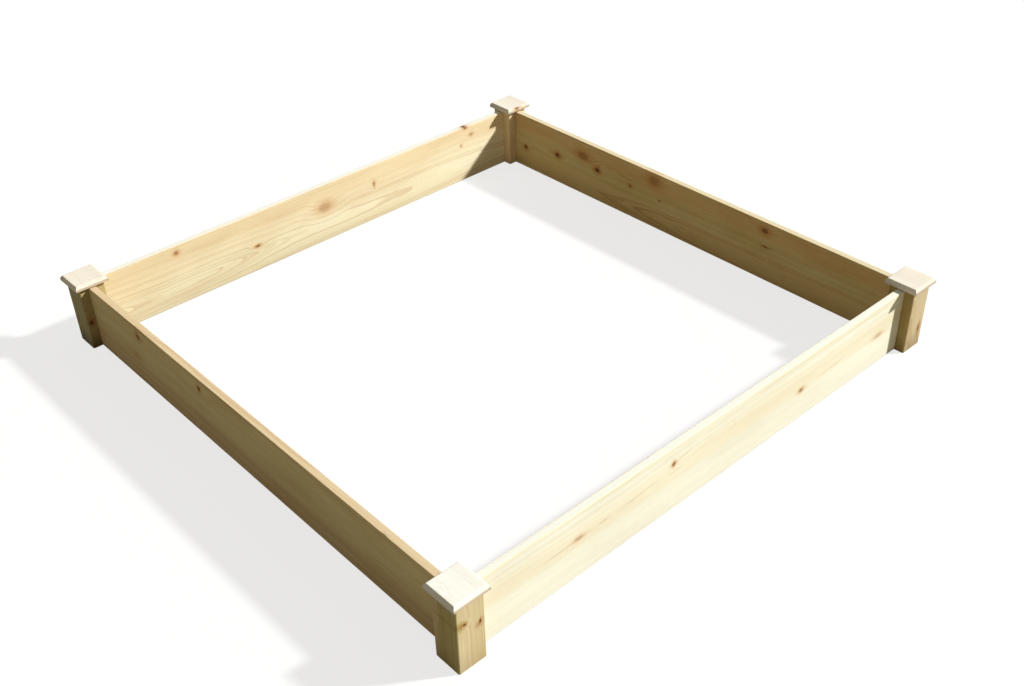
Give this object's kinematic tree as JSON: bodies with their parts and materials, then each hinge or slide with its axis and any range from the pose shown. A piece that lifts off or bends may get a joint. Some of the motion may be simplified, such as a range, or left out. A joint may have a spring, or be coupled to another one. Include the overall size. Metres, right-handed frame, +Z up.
{
  "type": "raised garden bed",
  "caption": "Low square raised garden bed of cedar planks joined by sliding dovetails to capped corner posts that lift off.",
  "frame": {"origin": "middle of the bed in plan, at ground level", "axes": "+Z up, +X from the left board to the right board, -Y out of the front board"},
  "size_m": [1.2346, 1.2346, 0.1536],
  "materials": {
    "cedar_board": "planed, unfinished, knotty",
    "cedar_post": "planed, unfinished",
    "cedar_cap": "planed and bevelled, unfinished",
    "nail_steel": "bright galvanised"
  },
  "bodies": {
    "boards": {"front_board": "cedar_board", "right_board": "cedar_board", "back_board": "cedar_board", "left_board": "cedar_board"},
    "front_left_corner": {"front_left_post": "cedar_post", "front_left_cap": "cedar_cap", "front_left_cap_nails": "nail_steel"},
    "front_right_corner": {"front_right_post": "cedar_post", "front_right_cap": "cedar_cap", "front_right_cap_nails": "nail_steel"},
    "back_right_corner": {"back_right_post": "cedar_post", "back_right_cap": "cedar_cap", "back_right_cap_nails": "nail_steel"},
    "back_left_corner": {"back_left_post": "cedar_post", "back_left_cap": "cedar_cap", "back_left_cap_nails": "nail_steel"}
  },
  "joints": [
    {"name": "front_left_lift", "type": "slide", "parent": "boards", "child": "front_left_corner", "axis": [0, 0, 1], "range_m": [0, 0.15]},
    {"name": "front_right_lift", "type": "slide", "parent": "boards", "child": "front_right_corner", "axis": [0, 0, 1], "range_m": [0, 0.15]},
    {"name": "back_right_lift", "type": "slide", "parent": "boards", "child": "back_right_corner", "axis": [0, 0, 1], "range_m": [0, 0.15]},
    {"name": "back_left_lift", "type": "slide", "parent": "boards", "child": "back_left_corner", "axis": [0, 0, 1], "range_m": [0, 0.15]}
  ]
}
